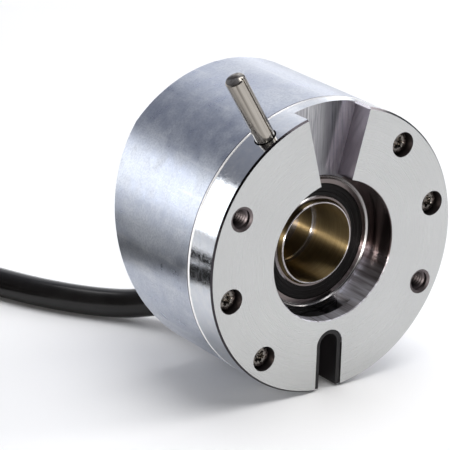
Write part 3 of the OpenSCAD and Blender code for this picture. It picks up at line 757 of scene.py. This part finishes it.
# The cable's centre line: its exit, the way along the floor to the coil, and from the coil to the
# plug.
EXIT = Vector((-6, 32.04, -20.03))
STRAIGHT = [
    (-6.25, 37, -21.3), (-7.8, 41.8, -22.9), (-10.4, 46.2, -24.4), (-13.6, 50.2, -25.5),
    (-16.9, 54.1, -25.9), (-20.1, 58.1, -26), (-23, 62.3, -26), (-25.6, 66.7, -26),
    (-27.8, 71.3, -26), (-29.8, 76, -26), (-31.7, 80.8, -26), (-33.5, 85.6, -26),
    (-35.4, 90.4, -26), (-37.3, 95.2, -26), (-39.2, 100, -26),
]
TAIL = [
    (-108.2, 80.5, -20.8), (-107.3, 75.6, -20.7), (-106.5, 70.7, -20.3), (-105.6, 65.7, -20),
    (-104.7, 60.8, -20.2), (-103.8, 55.6, -20.8), (-103, 50.4, -21.3), (-102.6, 43, -21.5),
]
COIL_CENTRE = Vector((-74.2, 86.5))
COIL_R = 31.5
COIL_TURNS = 4 + 169 / 360
POINTS_PER_TURN = 48
UPPER_RISE = CABLE_D * math.sqrt(3) / 2

# Degrees of winding between which the cable changes its place, or crosses a turn that does.
MOVES_INWARDS = ((300, 350), (660, 710))
CLIMB = (970, 1020)
MOVE_OUTWARDS = (1275, 1325)
CROSSINGS = ((1005, 1085), (1262, 1338), (1365, 1445))


def eased(value, start, end):
    """0 before start, 1 after end, smooth between."""
    t = min(max((value - start) / (end - start), 0.0), 1.0)
    return t * t * (3 - 2 * t)


def coil_place(angle):
    """(radius, height above the lowest layer) after so many degrees of winding.

    Three turns spiral inwards on the floor.  The fourth and the rest lie in the grooves above,
    lifted a little wherever they cross a turn that changes its place.
    """
    radius = COIL_R + CABLE_D
    for move in MOVES_INWARDS:
        radius -= CABLE_D * eased(angle, *move)
    climb = eased(angle, *CLIMB)
    around = math.radians(180 - 60 * climb)
    radius = radius + CABLE_D + CABLE_D * math.cos(around) if climb else radius
    height = CABLE_D * math.sin(around) if climb else 0.0
    radius += CABLE_D * eased(angle, *MOVE_OUTWARDS)
    for start, end in CROSSINGS:
        middle, half = (start + end) / 2, (end - start) / 2
        if abs(angle - middle) < half:
            lift = CABLE_D - UPPER_RISE
            height += lift * math.cos((angle - middle) / half * math.pi / 2) ** 2
    return radius, height


def coil_points(entry_angle):
    points = []
    steps = int(COIL_TURNS * POINTS_PER_TURN)
    for k in range(1, steps):
        angle = COIL_TURNS * 360 * k / steps
        radius, height = coil_place(angle)
        turn = entry_angle + math.radians(angle)
        points.append(Vector((COIL_CENTRE.x + radius * math.cos(turn),
                              COIL_CENTRE.y + radius * math.sin(turn), LAY_Z + height)))
    return points


def smooth_line(points):
    """Points along a Catmull-Rom curve through the given ones."""
    step = 1.6
    out = []
    for i in range(len(points) - 1):
        p0, p1 = points[max(i - 1, 0)], points[i]
        p2, p3 = points[i + 1], points[min(i + 2, len(points) - 1)]
        parts = max(2, round((p2 - p1).length / step))
        for k in range(parts):
            t = k / parts
            out.append(0.5 * (2 * p1 + (p2 - p0) * t + (2 * p0 - 5 * p1 + 4 * p2 - p3) * t * t
                              + (3 * p1 - p0 - 3 * p2 + p3) * t ** 3))
    out.append(points[-1])
    return out


def make_cable():
    """The whole cable: from its exit along the floor, round the coil and on to the plug."""
    straight = [EXIT] + [Vector(p) for p in STRAIGHT]
    entry = straight[-1] - Vector((*COIL_CENTRE, straight[-1].z))
    entry_angle = math.atan2(entry.y, entry.x)
    line = smooth_line(straight + coil_points(entry_angle) + [Vector(p) for p in TAIL])
    data = bpy.data.curves.new("cable_jacket", "CURVE")
    data.dimensions = "3D"
    spline = data.splines.new("POLY")
    spline.points.add(len(line) - 1)
    for point, spot in zip(spline.points, line):
        point.co = (*(spot * MM), 1)
    data.bevel_depth = CABLE_D / 2 * MM
    data.bevel_resolution = 7
    data.use_fill_caps = True
    cable = bpy.data.objects.new("cable_jacket", data)
    bpy.context.scene.collection.objects.link(cable)
    return adopt(cable, "cable_jacket", STATOR, "cable", "cable_coil", "cable_tail")


def make_tie():
    """Nylon tie round the coil: a thin band, its lock and its free tongue."""
    tie_angle = math.radians(114)
    half_width, thick, edge_cut = 2.3, 0.7, 0.15
    foot, shoulder = 0.35, 4.2
    inner, outer = COIL_R - 1.5 * CABLE_D, COIL_R + 1.5 * CABLE_D
    top = CABLE_D + UPPER_RISE
    loop = filleted([(inner, foot), (outer, foot), (outer, shoulder), (COIL_R + CABLE_D, top),
                     (COIL_R - CABLE_D, top), (inner, shoulder)], 2.6, 6)
    radial = Vector((math.cos(tie_angle), math.sin(tie_angle), 0))
    along = Vector((-radial.y, radial.x, 0))
    centre = Vector((*COIL_CENTRE, FLOOR_Z))
    middle = Vector((COIL_R, top / 2))
    work = bmesh.new()
    rings = []
    for r, z in loop:
        away = (Vector((r, z)) - middle).normalized()
        ring = []
        for depth, side in ((0, -1), (0, 1), (thick, 1), (thick, -1)):
            flat = Vector((r, z)) + away * depth
            edge = half_width - (edge_cut if depth else 0)
            height = Vector((0, 0, max(flat.y, 0.02)))
            spot = centre + radial * flat.x + height + along * side * edge
            ring.append(work.verts.new(spot * MM))
        rings.append(ring)
    for a, b in zip(rings, rings[1:] + rings[:1]):
        for k in range(4):
            work.faces.new((a[k], a[(k + 1) % 4], b[(k + 1) % 4], b[k]))
    band = adopt(object_from("tie_band", work, 50), "tie_nylon", STATOR, "cable_tie")
    axes = Matrix((along, radial, Vector((0, 0, 1)))).transposed().to_4x4()
    pieces = [band]
    for name, size, rounding, out, up in (("tie_lock", (6.0, 4.4, 1.2), 0.35, 1.0, 0.35),
                                          ("tie_tongue", (4.0, 3.6, 0.7), 0.25, 4.1, 0.3)):
        spot = centre + radial * (COIL_R + out) + Vector((0, 0, top + up))
        piece = rounded_block(name, size, rounding, Matrix.Translation(spot) @ axes)
        pieces.append(adopt(piece, "tie_nylon", STATOR))
    return pieces


def rounded_block(name, size, rounding, place):
    """Box with rounded edges, centred on place."""
    work = bmesh.new()
    bmesh.ops.create_cube(work, size=1, matrix=Matrix.Diagonal((*size, 1)))
    bmesh.ops.bevel(work, geom=work.edges[:], offset=rounding, segments=3, profile=0.5,
                    affect="EDGES")
    bmesh.ops.transform(work, matrix=Matrix.Scale(MM, 4) @ place, verts=work.verts)
    return object_from(name, work, 50)


# ---------------------------------------------------------------- plug

def plug_place():
    """Frame of the plug: local Z runs from the cable's end to the mating end."""
    low, high = low_mm("plug_shell"), high_mm("plug_shell")
    spot = Vector(((low.x + high.x) / 2, high.y, (low.z + high.z) / 2))
    return Matrix.Translation(spot) @ Matrix.Rotation(math.radians(90), 4, "X")


def ridged(start, end, count, depth):
    """Radius change: count shallow flutes round the part between two heights."""
    def shape(radius, height, angle):
        if start <= height <= end:
            return radius - depth * (0.5 - 0.5 * math.cos(count * angle))
        return radius
    return shape


def make_plug():
    """Round plug: ribbed sleeve, knurled nut with an outer thread, carrier and contacts."""
    place = plug_place()
    sleeve_r = 6.6
    sleeve = [(0, 0), (3.6, 0)]
    for k in range(4):
        z = 1.0 + 1.5 * k
        r = 3.75 + 0.35 * k
        sleeve += [(r, z), (r, z + 0.8), (r - 0.3, z + 0.95), (r - 0.3, z + 1.35)]
    sleeve += [(5.2, 7.2), (sleeve_r, 9)] + [(sleeve_r, 10.5 + 0.6 * k) for k in range(26)]
    sleeve += [(sleeve_r, 27.7), (6.3, 28), (5.4, 28), (5.4, 31), (5.9, 31), (5.9, 33), (0, 33)]
    shell = revolved("plug_body", filleted(sleeve, 0.18, 2, keep=(0, len(sleeve) - 1)), 192, place,
                     ridged(start=10.4, end=26, count=24, depth=0.45))
    adopt(shell, "black_plastic", STATOR, "plug_shell")

    knurl_r, knurl_low, knurl_high = 7.5, 29.0, 35.8
    thread_r, root_r, thread_foot, pitch, thread_turns = 6.0, 5.55, 37.6, 1.0, 7
    outline = [(5.48, 28.1), (7.2, 28.1), (knurl_r, 28.4), (knurl_r, knurl_low),
               (knurl_r, knurl_high), (knurl_r, 36.4), (7.0, 37), (6, 37.1)]
    for k in range(thread_turns):
        z = thread_foot + pitch * k
        outline += [(thread_r, z), (root_r, z + pitch / 2)]
    outline += [(5.7, 44.8), (5.0, 44.8), (5.0, 33.1), (5.98, 33.1), (5.98, 30.9), (5.48, 30.9)]
    nut = revolved("plug_coupling_nut", outline, 288, place,
                   ridged(knurl_low - 0.01, knurl_high + 0.01, 48, 0.28))
    adopt(nut, "nickel", COUPLING, "plug_nut")

    insert = softened("plug_contact_carrier", "plug_insert", "black_plastic", 0.15)
    foot, tip, r, circle_r, outer_count = 36.9, 43.5, 0.4, 2.75, 7
    turns = [TURN * k / outer_count for k in range(outer_count)]
    spots = [(circle_r * math.cos(t), circle_r * math.sin(t)) for t in turns] + [(0, 0)]
    outline = [(0, foot), (r, foot), (r, tip - 0.4), (0.32, tip - 0.12), (0.18, tip), (0, tip)]
    pins = [revolved(f"pin_{k}", outline, 20, place @ Matrix.Translation((*spot, 0)))
            for k, spot in enumerate(spots)]
    contacts = adopt(joined("plug_contacts", pins), "contact_gold", STATOR, "plug_pins")
    return [shell, nut, insert, contacts]


# ---------------------------------------------------------------- front of the encoder

def make_pin():
    """Torque pin: a slit steel pin with a chamfered, domed tip, thinner where it sits."""
    heights = [(v.co / MM).dot(PIN_AXIS) for v in frame["nodes"]["torque_pin"].data.vertices]
    foot, tip = min(heights), max(heights)
    spot = PIN_SPOT_M / MM
    base = spot - PIN_AXIS * spot.dot(PIN_AXIS)
    turn = Vector((0, 0, 1)).rotation_difference(PIN_AXIS).to_matrix().to_4x4()
    edge, dome, dome_steps = 0.3, 0.3, 8
    flat_r, foot_r = PIN_R - edge, PIN_R - 0.06
    seat, rim = BODY_R + 0.1, tip - dome - edge
    outline = [(0, foot), (foot_r - 0.3, foot), (foot_r, foot + 0.3), (foot_r, seat),
               (PIN_R, seat), (PIN_R, rim), (flat_r + 0.1, rim + edge * 0.9)]
    for k in range(1, dome_steps + 1):
        share = k / dome_steps
        outline.append((flat_r * (1 - share), tip - dome * (1 - share) ** 2))
    slit_angle, slit_half, slit_depth = math.radians(293), math.radians(5), 0.35

    def slit(radius, height, angle):
        """Shallow groove along the pin, as in a rolled spring pin."""
        if radius <= foot_r - 0.35:
            return radius
        away = abs(angle - slit_angle) / slit_half
        return radius - slit_depth * eased(1.4 - away, 0, 0.8)

    pin = revolved("torque_pin_body", outline, 192, Matrix.Translation(base) @ turn, slit)
    return adopt(pin, "pin_steel", STATOR, "torque_pin")


def star(angle):
    """Radius of a six-lobed socket as a share of its largest radius."""
    lobes, narrowest, roundness = 6, 0.72, 0.8
    lobe = 0.5 + 0.5 * math.cos(lobes * angle)
    return narrowest + (1 - narrowest) * lobe ** roundness


def make_screws():
    """Flange screws: domed head with a deep star socket at its own angle, and the shank."""
    head_top, head_foot, head_r = 1.52, 3.2, 2.25
    socket_r, socket_floor, turn_each = 1.2, 2.65, 0.4
    shank_end, shank_r = 15.5, 1.2
    screws = []
    for k, clock in enumerate(SCREW_CLOCKS):
        def shape(radius, height, angle, spin=turn_each * k):
            return radius * star(angle + spin) if radius < socket_r + 0.01 else radius

        outline = [(0, socket_floor + 0.3), (socket_r * 0.55, socket_floor),
                   (socket_r * 0.97, socket_floor - 0.05), (socket_r, head_top + 0.10),
                   (socket_r + 0.08, head_top), (head_r - 0.35, head_top + 0.04),
                   (head_r - 0.1, head_top + 0.18), (head_r, head_top + 0.45), (head_r, head_foot),
                   (shank_r, head_foot), (shank_r, shank_end - 0.3), (shank_r - 0.3, shank_end),
                   (0, shank_end)]
        screws.append(revolved(f"screw_{k}", outline, 96, at_clock(clock), shape))
    return adopt(joined("flange_screw_set", screws), "screw_steel", STATOR, "flange_screws")


def open_tapped_holes(work):
    """Widens the face's two tapped holes to the thread's outer size; the ridges go back in."""
    near_face = 3 * MM
    for clock in TAP_CLOCKS:
        centre = at_clock(clock).translation * MM
        for vertex in work.verts:
            away = Vector((vertex.co.x - centre.x, 0, vertex.co.z - centre.z))
            if away.length < (TAP_R + 0.1) * MM:
                y = vertex.co.y
                y = min(y, THREAD_START * MM) if y < near_face else y
                vertex.co = centre + away.normalized() * THREAD_R * MM + Vector((0, y, 0))


def narrow_pin_pocket(work):
    """Draws the pocket round the pin's foot in towards the pin."""
    pocket_low, pocket_high, pocket_r = 2.3, 2.7, 2.25
    body_r = BODY_R * MM
    for vertex in work.verts:
        along = (vertex.co - PIN_SPOT_M).dot(PIN_AXIS)
        away = vertex.co - PIN_SPOT_M - PIN_AXIS * along
        if along < 0 and pocket_low * MM < away.length < pocket_high * MM:
            spot = vertex.co - away + away.normalized() * pocket_r * MM
            across = math.hypot(spot.x, spot.z)
            if math.hypot(vertex.co.x, vertex.co.z) > body_r - 0.15 * MM:
                spot = Vector((spot.x * body_r / across, spot.y, spot.z * body_r / across))
            vertex.co = spot


def shape_flange(work):
    """What the flange's looks change in its CAD shape."""
    open_tapped_holes(work)
    narrow_pin_pocket(work)


def make_face_threads():
    """Thread ridges in the two tapped holes."""
    pitch, around, below_thread, first_ridge, fade_in = 0.7, 48, 1.2, 0.45, 1.5
    crest = TAP_R - THREAD_R
    # Height in pitches and the step out from the thread's outer radius.
    profile = ((-0.44, 0.04), (-0.06, crest), (0.06, crest), (0.44, 0.04), (0, 0.3))
    sides = len(profile)
    steps = int((FLANGE_T - THREAD_START - below_thread) / pitch * around)
    for number, clock in enumerate(TAP_CLOCKS):
        place = at_clock(clock)
        work = bmesh.new()
        rows = []
        for k in range(steps + 1):
            angle = TURN * k / around
            fade = min(1, fade_in * k / around, fade_in * (steps - k) / around)
            row = []
            for offset, out in profile:
                r = THREAD_R + (out * fade if out < 0 else out)
                height = THREAD_START + (first_ridge + k / around + offset) * pitch
                spot = Vector((r * math.cos(angle), r * math.sin(angle), height))
                row.append(work.verts.new(place @ spot * MM))
            rows.append(row)
        for a, b in zip(rows, rows[1:]):
            for k in range(sides):
                work.faces.new((a[k], a[(k + 1) % sides], b[(k + 1) % sides], b[k]))
        work.faces.new(rows[0])
        work.faces.new(rows[-1][::-1])
        adopt(object_from(f"face_thread_{number + 1}", work, 40), "turned_aluminium", STATOR)


def race_arc(land_r, outer):
    """Ball groove of a bearing ring, from one edge of its land to the other."""
    steps = 10
    reach = math.acos(min(1, abs(land_r - RACE_CIRCLE_R) / RACE_R))
    base, sense = (0, 1) if outer else (math.pi, -1)
    angles = [base + (reach - 2 * reach * k / steps) * sense for k in range(steps + 1)]
    return [(RACE_CIRCLE_R + RACE_R * math.cos(a), RACE_Y - RACE_R * math.sin(a)) for a in angles]


def make_bearing_front():
    """The parts of the front bearing that show: both rings and the seal."""
    ring_low, ring_high = low_mm("front_outer_ring"), high_mm("front_outer_ring")
    y0, y1, r_out = ring_low.y, ring_high.y, ring_high.x
    r_in = BORE_R + 0.52
    land, seal_seat, side = 11.6, 11.9, 0.8
    outline = [(seal_seat, y0), (r_out - 0.25, y0), (r_out, y0 + 0.25), (r_out, y1 - 0.25),
               (r_out - 0.25, y1), (seal_seat, y1), (seal_seat, y1 - side), (land, y1 - side)]
    outline += sorted(race_arc(land, True), key=lambda p: -p[1])
    outline += [(land, y0 + side), (seal_seat, y0 + side)]
    adopt(revolved("front_outer_race", outline, 200), "bearing_steel", STATOR, "front_outer_ring")

    land, seal_seat = 9.9, 9.5
    outline = [(9.15, y0), (seal_seat, y0 + 0.35), (seal_seat, y0 + side), (land, y0 + side)]
    outline += sorted(race_arc(land, False), key=lambda p: p[1])
    outline += [(land, y1 - side), (seal_seat, y1 - side), (seal_seat, y1), (r_in + 0.25, y1),
                (r_in, y1 - 0.25), (r_in, y0 + 0.28), (r_in + 0.28, y0)]
    adopt(revolved("front_inner_race", outline, 200), "bearing_steel", ROTOR, "front_inner_ring")

    y0, y1 = low_mm("front_seal").y, high_mm("front_seal").y
    outline = [(9.38, y0 + 0.12), (9.6, y0 + 0.05), (10.05, y0 + 0.05), (10.15, y0 + 0.16),
               (10.9, y0 + 0.16), (11.0, y0 + 0.04), (11.35, y0), (11.7, y0 + 0.02),
               (11.87, y0 + 0.2), (11.87, y1), (9.7, y1), (9.55, y0 + 0.3)]
    adopt(revolved("front_seal_lip", outline, 200), "black_rubber", STATOR, "front_seal")


def make_shaft():
    """Hollow shaft: thin rounded mouth, bore with a small lead-in, step, narrower stretch."""
    mouth, end = low_mm("hollow_shaft").y, high_mm("hollow_shaft").y
    collar_r = high_mm("hollow_shaft").x
    outer_r, step_y, web_y, small_r, hole_r = BORE_R + 0.5, 16.0, 20.4, 7.1, 2.75
    collar_low = high_mm("front_inner_ring").y + 0.01
    collar_high = low_mm("rear_inner_ring").y - 0.01
    outline = [
        (BORE_R + 0.02, mouth + 0.16), (BORE_R + 0.08, mouth + 0.03), (BORE_R + 0.14, mouth),
        (outer_r - 0.22, mouth), (outer_r - 0.06, mouth + 0.12), (outer_r, mouth + 0.3),
        (outer_r, collar_low), (collar_r, collar_low), (collar_r, collar_high),
        (outer_r, collar_high), (outer_r, end - 0.2), (outer_r - 0.2, end), (hole_r + 0.25, end),
        (hole_r, end - 0.25), (hole_r, web_y + 0.25), (hole_r + 0.25, web_y), (small_r, web_y),
        (small_r, step_y + 0.25), (small_r + 0.2, step_y), (BORE_R, step_y), (BORE_R, mouth + 0.2),
    ]
    adopt(revolved("shaft_tube", outline, 224), "shaft_steel", ROTOR, "hollow_shaft")


def make_body():
    """Flange, liner, housing, carrier and the pieces on the back."""
    softened("flange_body", "flange", "turned_aluminium", 0.08, change=shape_flange)
    softened("slot_liner_body", "slot_liner", "black_plastic", 0.12)
    softened("housing_body", "housing", "housing_aluminium", 0.3, 3)
    softened("carrier_body", "bearing_carrier", "inner_aluminium", 0.06)
    softened("access_plug_body", "access_plug", "inner_aluminium", 0.15)
    softened("gland_body", "cable_gland", "black_plastic", 0.12)


def paint_rest():
    """Procedural materials on every CAD node that still shows."""
    slots = {s["node"]: s["material_slot"] for s in frame["record"]["subparts"]}
    for name, item in frame["nodes"].items():
        if not item.hide_render:
            item.material_slots[0].material = materials[slots[name]]


make_materials()
make_camera()
cable = make_cable()
tie_pieces = make_tie()
plug_pieces = make_plug()
make_body()
make_pin()
make_screws()
make_face_threads()
make_bearing_front()
make_shaft()
paint_rest()
make_floor()
make_lights()
make_world()
